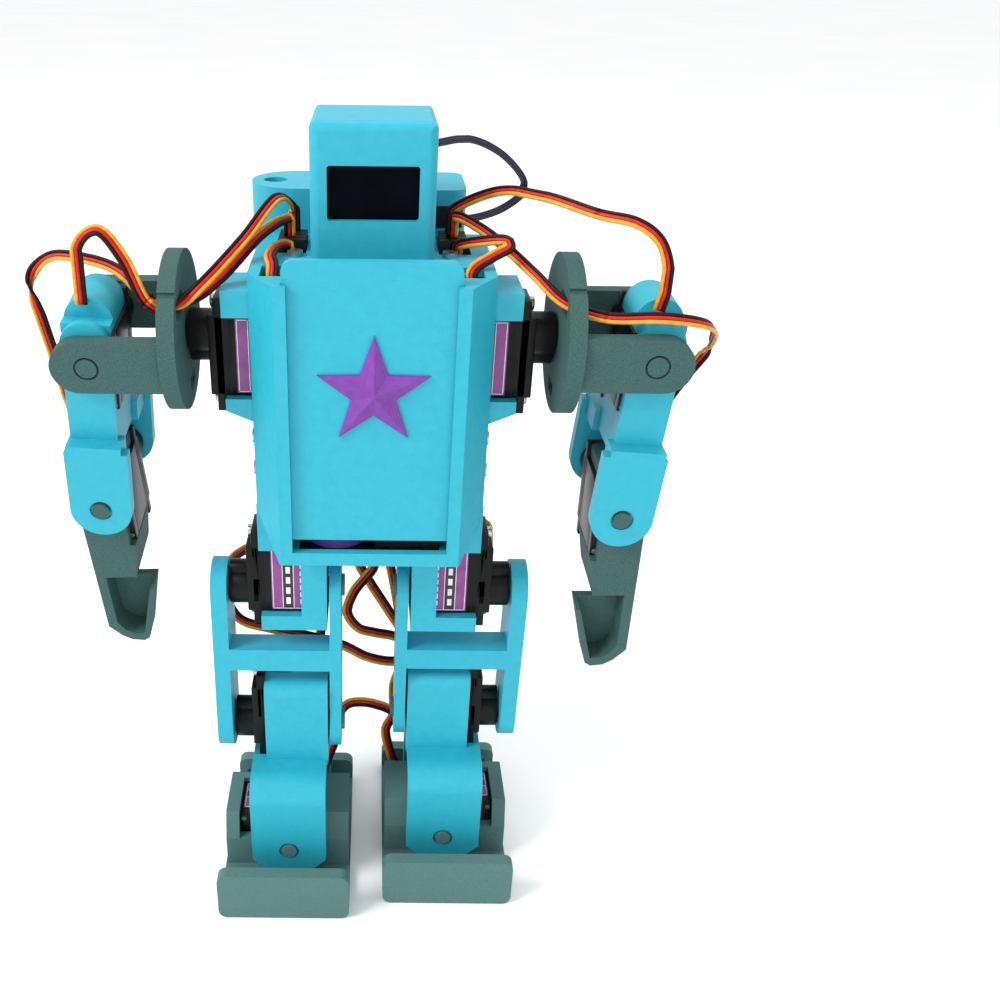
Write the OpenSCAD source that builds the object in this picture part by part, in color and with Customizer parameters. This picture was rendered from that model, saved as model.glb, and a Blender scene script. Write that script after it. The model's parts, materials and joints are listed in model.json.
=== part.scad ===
// Desk-sized humanoid robot kit: printed frame, twelve micro servos, sliding chest cover.
// Millimetres, +Z up, the robot faces -Y and its left side is +X. The floor is z = 0.

/* [Servo] */
// Length of the servo case, along the ears
servo_l = 22.7; // [22.4:0.1:22.9]
// Width of the servo case
servo_w = 12.3; // [12:0.1:12.5]
// Height of the case below the ears
ear_under = 18.5; // [18.2:0.1:18.6]
// Overall length over both ears
ear_span = 32.0; // [31.6:0.1:32.2]

/* [Torso] */
// Outer half width of the torso shell
torso_x = 32.3; // [32:0.1:33]
// Underside of the torso shell above the floor
torso_bottom = 121.6; // [121:0.1:122]
// Top plate of the torso shell above the floor
torso_top = 202; // [201:0.5:203]
// Thickness of the printed walls
wall = 2.4; // [2:0.1:2.6]
// Width of the sliding chest cover
cover_w = 45.6; // [45:0.1:46]
// Thickness of the sliding chest cover
cover_t = 2.5; // [2.2:0.1:2.6]
// Tip radius of the chest star
star_r = 15.6; // [12:0.1:18]

/* [Head] */
// Width of the head
head_w = 33; // [32:0.5:34]
// Height of the head
head_h = 35.7; // [33:0.1:37]
// Width of the display window
window_w = 24; // [22:0.5:26]
// Height of the display window
window_h = 14; // [12:0.5:15]

/* [Arms] */
// Height of the shoulder axis above the floor
shoulder_z = 183.5; // [183:0.1:184]
// Radius of the shoulder disc
disc_r = 21.7; // [21:0.1:22.5]
// Distance of the roll axis from the middle of the robot
roll_x = 73.7; // [73:0.1:75]
// Shoulder roll axis to elbow axis
upper_arm_l = 46.5; // [46:0.5:48]

/* [Legs] */
// Hip axis to knee axis
thigh_l = 49.9; // [49.5:0.1:51]
// Height of the knee axis above the floor
knee_z = 52; // [51.5:0.1:52.5]
// Height of the ankle axis above the floor
ankle_z = 15; // [14.5:0.1:15.5]
// Distance of the ankle axis from the middle of the robot
ankle_x = 25.2; // [25:0.1:25.4]

/* [Standing pose] */
// Fore-and-aft lean of the thighs, one forward and one back
leg_lean = 3.75; // [0:0.25:6]
// Backward pitch of the right arm
right_pitch = 9.3; // [0:0.1:20]
// Backward pitch of the left arm
left_pitch = 3; // [0:0.5:20]
// Outward roll of the right upper arm
right_roll = 3.5; // [0:0.5:10]
// Outward roll of the left upper arm
left_roll = -4; // [-4:0.5:10]

/* [Hidden] */
$fn = 48;

// Colours of the printed plastics and the bought parts
blue = [0.20, 0.78, 0.90];
grey = [0.33, 0.45, 0.44];
black = [0.07, 0.08, 0.08];
purple = [0.50, 0.22, 0.55];
steel = [0.75, 0.76, 0.78];

// Servo: the shaft is 6 mm from one end of the case, and the boss round it is tangent to that end
shaft_in = 6;
case_top = 22.7;
ear_t = 2.5;
boss_top = 28.4;
spline_top = 31.6;
spline_r = 2.35;
ear_out = (ear_span - servo_l) / 2;
ear_hole_in = 2.35;
gap = 0.15;
fit = 0.06;
pin_r = 2.5;
screw_r = 0.95;
horn_t = 1.4;
ankle_reach = 8;
roll_reach = 6.5;
elbow_reach = 6;
thigh_reach = 5.5;
far_end = servo_l - shaft_in;

// Levels and stations. Depths are measured from the plane of the servo shafts.
step = thigh_l * sin(leg_lean);
hip_z = knee_z + thigh_l * cos(leg_lean);
foot_front = -36;
foot_back = 30;
box_back = 59.3;
shaft_y = -(box_back + foot_front - step) / 2;
shoulder_bottom = 21.2;
hip_bottom = 14.2;
horn_gap = 0.45;
disc_in = shoulder_bottom + boss_top + horn_gap;
disc_out = disc_in + 4.6;
plate_in = hip_bottom + boss_top + horn_gap;
plate_out = plate_in + 4.9;
rear_bottom = -12.7;
arm_in = 16.15;
arm_t = 4;
roll_drop = 1;
rail_in = 21.6;
rail_out = 25;
rail_front = -21.4;
cover_front = -19.4;
cover_bottom = 128.9;
cover_top = 208;
torso_back = 33;
head_front = 1.5;
box_front = torso_back + 0.15;
window_z = torso_top + 17.9;
head_r = 2.3;
cell_r = 9.2;
cell_x = -9.5;
cell_y = -7.2;
cell_z = 124;
cell_l = 65;

function lean(s) = s * leg_lean;
function pitch(s) = s > 0 ? left_pitch : right_pitch;
function roll(s) = s > 0 ? left_roll : right_roll;
function bend(s) = s > 0 ? 4.5 : -6.5;

// ---- Frames: each draws its children in the moved frame of one body ----
module side(s) {
    if (s < 0) mirror([1, 0, 0]) children();
    else children();
}

module shoulder_frame(s) side(s)
    translate([0, shaft_y, shoulder_z]) rotate([pitch(s), 0, 0]) children();

module roll_frame(s) shoulder_frame(s)
    translate([roll_x, 0, -roll_drop]) rotate([0, -roll(s), 0]) children();

module elbow_frame(s) roll_frame(s) translate([0, 0, -upper_arm_l]) rotate([0, -bend(s), 0]) children();

module hip_frame(s) side(s) translate([0, shaft_y, hip_z]) rotate([lean(s), 0, 0]) children();

module knee_frame(s) side(s) translate([0, shaft_y + s * step, knee_z]) children();

module ankle_frame(s) side(s) translate([ankle_x, shaft_y + s * step, ankle_z]) children();

module torso_frame() translate([0, shaft_y, 0]) children();

// ---- Small helpers ----
// A box from one corner to the opposite one
module span(a, b) translate(a) cube(b - a);

// A round bar along X, Y or Z, from one end to the other
module bar_x(x0, x1, r) translate([x0, 0, 0]) rotate([0, 90, 0]) cylinder(r = r, h = x1 - x0);

module bar_y(y0, y1, r) translate([0, y0, 0]) rotate([-90, 0, 0]) cylinder(r = r, h = y1 - y0);

// A flat outline in the XZ plane, given depth along Y
module slab_y(y0, y1) translate([0, y1, 0]) rotate([90, 0, 0]) linear_extrude(y1 - y0) children();

// A flat outline in the YZ plane, given depth along X
module slab_x(x0, x1) translate([x0, 0, 0]) rotate([90, 0, 90]) linear_extrude(x1 - x0) children();

// A rectangle with exact round corners
module round_rect(a, b, r) {
    translate([a[0] + r, a[1]]) square([b[0] - a[0] - 2 * r, b[1] - a[1]]);
    translate([a[0], a[1] + r]) square([b[0] - a[0], b[1] - a[1] - 2 * r]);
    for (x = [a[0] + r, b[0] - r], y = [a[1] + r, b[1] - r]) translate([x, y]) circle(r);
}

// ---- Micro servo and its horn ----
// Shaft on +Z from the bottom of the case, long side towards +X
module servo_body() {
    difference() {
        union() {
            span([-shaft_in, -servo_w / 2, 0], [far_end, servo_w / 2, case_top]);
            span([-shaft_in - ear_out, -servo_w / 2, ear_under],
                [far_end + ear_out, servo_w / 2, ear_under + ear_t]);
            cylinder(r = shaft_in - 0.05, h = boss_top);
            translate([5.85, 0, 0]) cylinder(r = 2.75, h = boss_top);
            cylinder(r = spline_r, h = spline_top);
        }
        servo_holes(1.1, ear_under - 1, ear_under + ear_t + 1);
        translate([0, 0, spline_top - 2.6]) cylinder(r = 1, h = 4);
    }
}

// Holes at the two ears, also used for the pilot holes that the screws bite into
module servo_holes(r, z0, z1) {
    for (x = [-shaft_in - ear_hole_in, far_end + ear_hole_in])
        translate([x, 0, z0]) cylinder(r = r, h = z1 - z0);
}

// The two self-tapping screws that hold a servo by its ears
module servo_screws() {
    servo_holes(screw_r, ear_under - 6.5, ear_under + ear_t + 1);
    servo_holes(1.9, ear_under + ear_t + 0.03, ear_under + ear_t + 1.5);
}

module servo() {
    color(black) servo_body();
    color(steel) servo_screws();
}

// The space a holder leaves for a servo, its ears and its screws
module servo_pocket(z0) {
    span([-shaft_in - gap, -servo_w / 2 - gap, z0], [far_end + gap, servo_w / 2 + gap, 40]);
    servo_holes(screw_r + 0.05, ear_under - 8, ear_under + 1);
}

// Turns a servo so that its shaft points along +X and its long side goes up or down
module shaft_x(up) rotate([up ? 180 : 0, 0, 0]) rotate([0, 90, 0]) children();

// Turns a servo so that its shaft points along +Y and its long side goes down
module shaft_y_down() rotate([0, 90, 0]) rotate([-90, 0, 0]) children();

// Turns a servo so that its shaft points along +Y and its long side goes outward
module shaft_y_out() rotate([-90, 0, 0]) children();

// Two-armed servo horn: the hub grips the spline, the arms lie flush with the far face
module horn(h, reach = 12.5) {
    color(black) difference() {
        union() {
            cylinder(r = 3.5, h = h);
            translate([0, 0, h - horn_t]) linear_extrude(horn_t) {
                translate([-reach, -2]) square([2 * reach, 4]);
                for (x = [-reach, reach]) translate([x, 0]) circle(2);
            }
        }
        translate([0, 0, -1]) cylinder(r = spline_r + 0.03, h = h - 0.1);
        cylinder(r = 1.15, h = h + 1);
        for (x = [-reach, reach]) translate([x, 0, 0]) cylinder(r = 0.5, h = h + 1);
    }
    color(steel) translate([0, 0, h - 0.45]) cylinder(r = 0.95, h = 0.3);
}

// What a plate loses to take a horn from its outer face
module horn_pocket(h, reach = 12.5) {
    translate([0, 0, -1]) cylinder(r = 3.5 + gap, h = h + 2);
    translate([0, 0, h - horn_t - gap]) linear_extrude(4) {
        translate([-reach, -2 - gap]) square([2 * reach, 4 + 2 * gap]);
        for (x = [-reach, reach]) translate([x, 0]) circle(2 + gap);
    }
}

// ---- Torso ----
// Half plan of the shell: wing, slanted front corner and rail
module torso_plan(inset) {
    i = inset;
    polygon([[0, torso_back - i], [torso_x - i, torso_back - i], [torso_x - i, -10 + i * 0.4],
        [rail_out - i * 0.6, rail_front + i], [0, rail_front + i]]);
}

module both() {
    children();
    mirror([1, 0, 0]) children();
}

// The wing's lower front corners are cut back in a straight slope
module wing_cut() {
    both() slab_y(rail_front - 5, -8.8) polygon([[25.4, torso_bottom - 1], [25.4, torso_bottom],
        [torso_x + 0.02, 133.4], [60, 133.4], [60, torso_bottom - 1]]);
}

module torso_shell() color(blue) torso_frame() difference() {
    union() {
        difference() {
            translate([0, 0, torso_bottom]) linear_extrude(torso_top - torso_bottom) both() torso_plan(0);
            // the room inside, closed by the floor, the back and the top plate
            translate([0, 0, torso_bottom + 3]) linear_extrude(torso_top - torso_bottom - 3 - wall)
                both() torso_plan(wall);
            // the front is open between the rails
            span([-rail_in, rail_front - 1, torso_bottom + 4], [rail_in, 0, torso_top + 1]);
            wing_cut();
        }
        // shoulder brackets
        both() span([torso_x - 0.5, -8.7, shoulder_z + shaft_in + gap], [39.7, 8.7, 197]);
        both() slab_y(-8.7, 8.7) polygon([[torso_x - 0.5, shoulder_z - far_end - gap],
            [39.7, shoulder_z - far_end - gap], [39.7, shoulder_z - far_end - 3.6],
            [torso_x - 0.5, shoulder_z - far_end - 7]]);
        // hip brackets under the floor
        both() span([12.7, -8.7, hip_z - 11.2], [32.7, 8.7, 134]);
    }
    // groove that the chest cover slides in
    span([-cover_w / 2 - 0.2, cover_front - 0.2, cover_bottom - 0.2],
        [cover_w / 2 + 0.2, cover_front + cover_t + 0.2, 220]);
    // servo windows through the side walls, and the servos' pockets
    both() translate([shoulder_bottom, 0, shoulder_z]) shaft_x(false) servo_pocket(-0.3);
    both() translate([hip_bottom, 0, hip_z]) shaft_x(true) servo_pocket(-0.02);
    // the hip servo's label side stays open, front and back
    both() span([20.4, -12, hip_z - shaft_in - gap], [40, 12, hip_z + far_end + gap]);
    // idler bores opposite the hip servos
    both() translate([0, 0, hip_z]) bar_x(12, hip_bottom + 0.1, pin_r + fit);
    // room inside for the cell and its holder, cable gaps in the top plate and the floor
    span([-20, -17, torso_bottom + 3], [20, 16, torso_top - wall - 2]);
    span([-20, -18, torso_bottom + 1.8], [20, 16, torso_bottom + 4]);
    both() span([18.2, 10.4, torso_top - 5], [27, 30, torso_top + 1]);
    both() span([23.4, -12, torso_top - 5], [29, -2.4, torso_top + 1]);
    span([-8, 8, torso_bottom - 1], [8, 20, torso_bottom + 5]);
    // pilot holes for the screws
    torso_screw_places(screw_r + 0.05, 9, 0);
}

// The screws of the torso: a pair on the top plate, two pairs on the sides
module torso_screw_places(r, l, head) {
    both() translate([21, 8, torso_top - l]) cylinder(r = r, h = l + 0.01);
    both() for (z = [142, 152])
        translate([torso_x - l, 0, z]) rotate([0, 90, 0]) cylinder(r = r, h = l + 0.01);
    if (head > 0) {
        both() translate([21, 8, torso_top + 0.01]) cylinder(r = 2.1, h = head);
        both() for (z = [142, 152])
            translate([torso_x + 0.01, 0, z]) rotate([0, 90, 0]) cylinder(r = 2.1, h = head);
    }
}

module torso_screws() color(steel) torso_frame() torso_screw_places(screw_r, 7, 1.4);

module shoulder_servos() torso_frame() both()
    translate([shoulder_bottom, 0, shoulder_z]) shaft_x(false) servo();

module hip_servos() torso_frame() both() translate([hip_bottom, 0, hip_z]) shaft_x(true) servo();

// Plan of the back box: one end fully round, the other with small corners
module box_plan(i) {
    l = -36;
    r = 27;
    end_r = (box_back - box_front) / 2;
    translate([l + end_r, box_front + end_r]) circle(end_r - i);
    translate([l + end_r, box_front + i]) square([r - 4 - l - end_r, box_back - box_front - 2 * i]);
    translate([r - 4, box_front + 4]) square([4 - i, box_back - box_front - 8]);
    for (y = [box_front + 4, box_back - 4]) translate([r - 4, y]) circle(4 - i);
}

module back_box() color(blue) torso_frame() difference() {
    translate([0, 0, 150]) linear_extrude(64.5) box_plan(0);
    translate([0, 0, 153]) linear_extrude(59.1) intersection() {
        box_plan(wall);
        translate([-24, 0]) square([60, 80]);
    }
    // peg hole through the round end
    translate([-29, 46, 140]) cylinder(r = 3.5, h = 80);
    // cut-out for the plugs, facing the head's left side
    span([17.8, box_front - 1, 203.6], [26, box_front + 6, 210]);
    // switch slot in the right-hand wall
    span([20, 40.6, 192.9], [30, 51.4, 199.1]);
}

module power_switch() color(black) torso_frame() difference() {
    span([21, 40.8, 193.1], [27.4, 51.2, 198.9]);
    span([25.2, 42.6, 194.6], [28, 49.4, 197.4]);
}

module switch_slider() color(steel) torso_frame() span([25.4, 42.8, 194.8], [29.4, 45.8, 197.2]);

// ---- Head ----
module head_plan(i)
    round_rect([-head_w / 2 + i, head_front + i], [head_w / 2 - i, torso_back - i], 2.5 - i * 0.6);

module head_shell() color(blue) torso_frame() difference() {
    intersection() {
        translate([0, 0, torso_top]) linear_extrude(head_h + 5) head_plan(0);
        slab_y(0, 40) round_rect([-head_w / 2 - 0.01, torso_top - 10],
            [head_w / 2 + 0.01, torso_top + head_h + 0.1], head_r);
        slab_x(-20, 20) round_rect([head_front, torso_top - 10],
            [torso_back, torso_top + head_h], 2.5);
    }
    translate([0, 0, torso_top - 1]) linear_extrude(head_h - 1.4) head_plan(2);
    // display window
    slab_y(head_front - 1, head_front + 5) round_rect([-window_w / 2, window_z - window_h / 2],
        [window_w / 2, window_z + window_h / 2], 0.8);
    // the rear cover's opening and the lead's hole
    span([-13, 26, torso_top + 2.5], [13, 40, torso_top + head_h - 6.5]);
    translate([head_w / 2 - 5, 24, 229]) bar_x(0, 8, 1.9);
}

module head_back_cover() color(blue) torso_frame()
    span([-12.8, 30.8, torso_top + 2.7], [12.8, torso_back - 0.02, torso_top + head_h - 6.7]);

module display_glass() color(black) torso_frame()
    span([-13.3, head_front + 2.05, window_z - 9.5], [13.3, head_front + 3.5, window_z + 9.5]);

module display_board() color("darkblue") torso_frame() difference() {
    span([-13.6, head_front + 3.55, window_z - 13.3], [13.6, head_front + 5.1, window_z + 12.5]);
    for (x = [-11.6, 11.6], z = [-11.3, 10.8]) translate([x, 0, window_z + z]) bar_y(0, 20, 1);
}

// ---- Electronics and power ----
module controller_board() torso_frame() {
    color("darkgreen") difference() {
        span([-20, 18, 132], [20, 19.6, 190]);
        for (x = [-17, 17], z = [135, 187]) translate([x, 0, z]) bar_y(0, 40, 1.6);
    }
    color(black) span([-9, 19.6, 150], [9, 22.6, 176]);
    color(black) for (x = [-15.5, 13]) span([x, 15.4, 140], [x + 2.5, 18, 178]);
    color(steel) span([-4.5, 19.6, 133], [4.5, 22.6, 141]);
}

// Three-way plugs on the header rows beside the head, and the display's plug in the box
module servo_plugs() color(black) torso_frame() {
    both() for (k = [0 : 3]) span([18.4, 13 + k * 3, 193.5], [26, 15.6 + k * 3, 205]);
    span([18.4, box_front + 0.2, 203.8], [25.8, box_front + 5.6, 209.8]);
}

module battery_cell() torso_frame() {
    color(purple) translate([cell_x, cell_y, cell_z + 0.4]) cylinder(r = cell_r, h = cell_l);
    color(steel) translate([cell_x, cell_y, cell_z + 0.4 + cell_l]) cylinder(r = 2.8, h = 1.2);
}

module battery_holder() color(black) torso_frame() difference() {
    union() {
        span([-19.9, cell_y - 2, cell_z - 0.5], [19.9, cell_y + cell_r + 2.4, cell_z + cell_l + 5]);
        span([1.5, cover_front + cover_t + 0.6, cell_z - 0.5], [19.9, 0, cell_z + cell_l + 5]);
        span([-19.9, -17.9, cell_z - 0.5], [19.9, cell_y, cell_z + 0.28]);
    }
    translate([cell_x, cell_y, cell_z + 0.3]) cylinder(r = cell_r + 0.2, h = cell_l + 1.4);
    span([cell_x - cell_r - 0.2, -30, cell_z + 0.3], [cell_x + cell_r + 0.2, cell_y, cell_z + cell_l + 1.7]);
    span([3.5, -12, cell_z + 3], [18, 3, cell_z + cell_l]);
}

// ---- Chest ----
module chest_cover() color(blue) torso_frame()
    slab_y(cover_front, cover_front + cover_t) {
        round_rect([-cover_w / 2, cover_bottom + 20], [cover_w / 2, cover_top], 3);
        translate([-cover_w / 2, cover_bottom]) square([cover_w, 40]);
    }

// Five points, each a ridged roof that climbs to the middle
module star_badge() color(purple) torso_frame() translate([0.7, cover_front, 173.4]) rotate([90, 0, 0]) {
    inner_r = star_r * 0.4;
    rise = 3.4;
    rim = [for (k = [0 : 9]) let (r = k % 2 == 0 ? star_r : inner_r)
        [r * cos(90 + 36 * k), r * sin(90 + 36 * k)]];
    polyhedron(
        points = concat([for (p = rim) [p[0], p[1], 0]], [for (p = rim) [p[0], p[1], 0.6]],
            [[0, 0, 0], [0, 0, rise]]),
        faces = concat(
            [for (k = [0 : 9]) [k, (k + 1) % 10, 20]],
            [for (k = [0 : 9]) [(k + 1) % 10, k, k + 10]],
            [for (k = [0 : 9]) [(k + 1) % 10, k + 10, (k + 1) % 10 + 10]],
            [for (k = [0 : 9]) [(k + 1) % 10 + 10, k + 10, 21]]));
}

// ---- Shoulder and arm ----
module shoulder_bracket(s) color(grey) shoulder_frame(s) difference() {
    union() {
        bar_x(disc_in, disc_out, disc_r);
        for (y0 = [-arm_in - arm_t, arm_in]) translate([0, 0, -roll_drop]) slab_y(y0, y0 + arm_t) {
            translate([disc_out - 1, -7.4]) square([roll_x + 2.2 - disc_out + 1, 14.8]);
            translate([roll_x + 2.2, 0]) circle(7.4);
        }
    }
    // the servo's horn, held from the outer face
    translate([disc_in + 0.05, 0, 0]) rotate([90, 0, 0]) shaft_x(false) horn_pocket(4.5);
    // openings for the ribbons at the top front, a slot at the bottom and the notch on the rim
    slab_x(disc_in - 1, disc_out + 1) {
        round_rect([-14, 8.6], [-3.4, 14.2], 1.5);
        round_rect([-4, -17.5], [4, -13.5], 1.5);
        rotate(39) translate([-0.8, disc_r - 0.9]) square([1.6, 4]);
    }
    // bores of the roll axis: the idler's in front, the horn's behind
    translate([roll_x, 0, -roll_drop]) {
        bar_y(-arm_in - arm_t - 1, -arm_in + 1, pin_r + 0.3);
        bar_y(-arm_in - arm_t - 1, -arm_in - arm_t + 0.8, 3.3);
        translate([0, arm_in, 0]) shaft_y_out() horn_pocket(arm_t - 0.1, roll_reach);
    }
}

module shoulder_horns(s) shoulder_frame(s) {
    translate([disc_in + 0.05, 0, 0]) rotate([90, 0, 0]) shaft_x(false) horn(4.5);
    translate([roll_x, arm_in, -roll_drop]) shaft_y_out() horn(arm_t - 0.1, roll_reach);
}

// Front face and depth of both arm holders
holder_front = -15.6;
holder_in = -5.5;
holder_out = 7.5;
ear_r = 8.7;

module upper_arm(s) color(blue) roll_frame(s) difference() {
    union() {
        // front wall with its round top, and the outer wall
        slab_y(holder_front, rear_bottom - 0.1) {
            translate([holder_in, -25]) square([holder_out - holder_in, 29]);
            translate([1, 4]) circle(6.5);
        }
        span([6.4, rear_bottom - 0.2, -29], [holder_out, 5.7, 4]);
        // blocks that the servo's ears are screwed to
        slab_y(rear_bottom - 0.2, ear_under + rear_bottom - 0.05) {
            translate([holder_in, 6.2]) square([13, 2]);
            translate([1, 8]) circle(6.5);
        }
        slab_y(rear_bottom - 0.2, ear_under + rear_bottom - 0.05)
            translate([holder_in, -30]) square([13, 30 - far_end - gap]);
        // shoulders down to the elbow ears
        for (y = [[-arm_in - arm_t, holder_front + 2.8], [5, arm_in + arm_t]]) slab_y(y[0], y[1])
            translate([holder_in - 1.5, -31.5]) square([15, 6.5]);
        for (y0 = [-arm_in - arm_t, arm_in]) slab_y(y0, y0 + arm_t) {
            translate([-ear_r, -upper_arm_l]) square([2 * ear_r, upper_arm_l - 27]);
            translate([0, -upper_arm_l]) circle(ear_r);
        }
    }
    // servo room, with the groove for the ribbon across the top
    shaft_y_down() translate([0, 0, rear_bottom]) servo_holes(screw_r + 0.05, ear_under - 8, ear_under + 1);
    span([-servo_w / 2 - gap, rear_bottom - 0.05, -far_end - gap], [servo_w / 2 + gap, 40, shaft_in + gap]);
    span([-20, -13, 9], [20, -9, 20]);
    // elbow bores
    translate([0, 0, -upper_arm_l]) {
        bar_y(-arm_in - arm_t - 1, -arm_in + 1, pin_r + fit);
        bar_y(-arm_in - arm_t - 1, -arm_in - arm_t + 0.8, 3.2);
        translate([0, arm_in, 0]) shaft_y_down() horn_pocket(arm_t - 0.1, elbow_reach);
    }
}

module roll_servo(s) roll_frame(s) translate([0, rear_bottom, 0]) shaft_y_down() servo();

// The idler pin is fixed in the holder's front wall and turns in the bracket's front arm
module shoulder_pin(s) color(grey) roll_frame(s) bar_y(-arm_in - arm_t - 0.1, holder_front, pin_r + 0.22);

module elbow_horn(s) roll_frame(s) translate([0, arm_in, -upper_arm_l])
    shaft_y_down() horn(arm_t - 0.1, elbow_reach);

// Hand outline below the forearm block: outer wall, round bottom, slanted inner wall
hand_back = -5.4;
module hand_outline() difference() {
    polygon([[8.2, -22], [8.2, -49.6], [4.6, -53.6], [1.6, -55.5], [-2.2, -56], [-4, -54.8],
        [-8.4, -34.8], [-6, -34.8], [5, -22]]);
    polygon([[5.2, -20], [5.2, -48], [3, -51.4], [0.4, -52.9], [-2.6, -53], [-7.3, -34.7],
        [-12, -34.7], [-12, -20]]);
}

module forearm(s) color(grey) elbow_frame(s) difference() {
    union() {
        // front wall and outer wall round the servo, and the blocks its ears are screwed to
        slab_y(holder_front, rear_bottom - 0.1) {
            translate([-4.5, -22]) square([12.7, 22]);
            intersection() {
                translate([-5, -1]) square([13.2, 13]);
                circle(11.4);
            }
        }
        span([6.4, rear_bottom - 0.2, -24], [8.2, 5.7, 4]);
        slab_y(rear_bottom - 0.2, ear_under + rear_bottom - 0.05) intersection() {
            translate([-5, 6.2]) square([13.2, 6]);
            circle(11.4);
        }
        // tapered block above the hand
        slab_y(holder_front, ear_under + rear_bottom - 0.05) polygon([[-6.2, -far_end - gap],
            [8.2, -far_end - gap], [8.2, -29.2], [-4.3, -29.2]]);
        // hand, closed at the back by a low wall
        slab_y(holder_front, hand_back) hand_outline();
        slab_y(hand_back - 2.2, hand_back) difference() {
            polygon([[8.2, -25], [8.2, -49], [4, -53.8], [-3.3, -54.5], [-7.9, -34.8], [-2, -34.8],
                [-2, -25]]);
            translate([-3.3, -30.6]) circle(4.2);
        }
    }
    shaft_y_down() translate([0, 0, rear_bottom]) servo_holes(screw_r + 0.05, ear_under - 8, ear_under + 1);
    span([-servo_w / 2 - gap, rear_bottom - 0.05, -far_end - gap], [servo_w / 2 + gap, 40, shaft_in + gap]);
}

module elbow_servo(s) elbow_frame(s) translate([0, rear_bottom, 0]) shaft_y_down() servo();

module elbow_pin(s) color(grey) elbow_frame(s) bar_y(-arm_in - arm_t - 0.5, holder_front, pin_r);

// ---- Leg ----
plate_r = 8.5;
inner_in = 8.5;
inner_out = 12;
bar_z0 = -26.3;
bar_z1 = -18.8;

// An upright plate with round ends about the hip and knee axes
module thigh_plate(x0, x1) slab_x(x0, x1) {
    circle(plate_r);
    translate([0, -thigh_l]) circle(plate_r);
    translate([-plate_r, -thigh_l]) square([2 * plate_r, thigh_l]);
}

module thigh_frame(s) color(blue) hip_frame(s) difference() {
    union() {
        thigh_plate(plate_in, plate_out);
        thigh_plate(inner_in, inner_out);
        span([inner_out - 1, -plate_r, bar_z0], [plate_in + 1, 1, bar_z1]);
    }
    for (z = [0, -thigh_l]) translate([0, 0, z]) {
        translate([plate_in + 0.05, 0, 0]) shaft_x(false) horn_pocket(4.8, thigh_reach);
        bar_x(inner_in - 1, inner_out + 1, pin_r + 0.02);
    }
}

module thigh_horns(s) hip_frame(s) for (z = [0, -thigh_l])
    translate([plate_in + 0.05, 0, z]) shaft_x(false) horn(4.8, thigh_reach);

// Headed idler pins: pressed into the inner plate, turning in the holders opposite the shafts
module thigh_pins(s) color(grey) hip_frame(s) for (z = [0, -thigh_l]) translate([0, 0, z]) {
    bar_x(inner_in - 0.02, hip_bottom - 0.15, pin_r);
    bar_x(inner_in - 1, inner_in - 0.02, 3.4);
}

shin_front = -22;
shin_ear_t = 4.9;
shin_ear_x = 12;
shin_ledge = -14;
ear_foot = -46;

module shin(s) color(blue) knee_frame(s) difference() {
    union() {
        // knee holder, closed in front
        slab_x(12.7, 32.7) {
            round_rect([-8.7, 0], [8.7, far_end + 2.4], 4);
            translate([-8.7, shin_ledge + 2]) square([17.4, 20]);
        }
        // ledge, rounded over into the front ear
        span([ankle_x - shin_ear_x, shin_front + 8, shin_ledge], [ankle_x + shin_ear_x, 21.1, shin_ledge + 4]);
        slab_x(ankle_x - shin_ear_x, ankle_x + shin_ear_x) intersection() {
            translate([shin_front, shin_ledge - 4]) square([8.01, 8]);
            translate([shin_front + 8, shin_ledge - 4]) difference() {
                circle(8);
                circle(8 - shin_ear_t);
            }
        }
        // the two ankle ears
        for (y0 = [shin_front, arm_in]) slab_y(y0, y0 + shin_ear_t) {
            ear_top = y0 < 0 ? shin_ledge - 4 : shin_ledge + 4;
            polygon([[ankle_x - shin_ear_x, ear_top], [ankle_x - shin_ear_x, ear_foot + 5],
                [ankle_x - 6.5, ear_foot], [ankle_x + 6.5, ear_foot],
                [ankle_x + shin_ear_x, ear_foot + 5], [ankle_x + shin_ear_x, ear_top]]);
        }
    }
    translate([hip_bottom, 0, 0]) shaft_x(true) servo_pocket(-0.02);
    bar_x(12, hip_bottom + 0.1, pin_r + fit);
    // notch in the ledge for the servo's lower ear and screw
    span([hip_bottom + ear_under - 0.02, -servo_w / 2 - gap, -shaft_in - ear_out - gap],
        [40, servo_w / 2 + gap, 0]);
    // ankle bores
    translate([ankle_x, 0, ankle_z - knee_z]) {
        bar_y(shin_front - 1, shin_front + 6, pin_r + fit);
        bar_y(shin_front - 1, shin_front + 0.8, 3.2);
        translate([0, arm_in + shin_ear_t - arm_t + 0.05, 0])
            shaft_y_out() horn_pocket(arm_t - 0.1, ankle_reach);
        bar_y(arm_in - 1, arm_in + 2, 3.5 + gap);
    }
}

module knee_servo(s) knee_frame(s) translate([hip_bottom, 0, 0]) shaft_x(true) servo();

module ankle_horn(s) knee_frame(s)
    translate([ankle_x, arm_in + shin_ear_t - arm_t + 0.05, ankle_z - knee_z])
        shaft_y_out() horn(arm_t - 0.1, ankle_reach);

sole_t = 3;
foot_in = -19.8;
foot_out = 21.8;
toe_h = 18;

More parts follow.
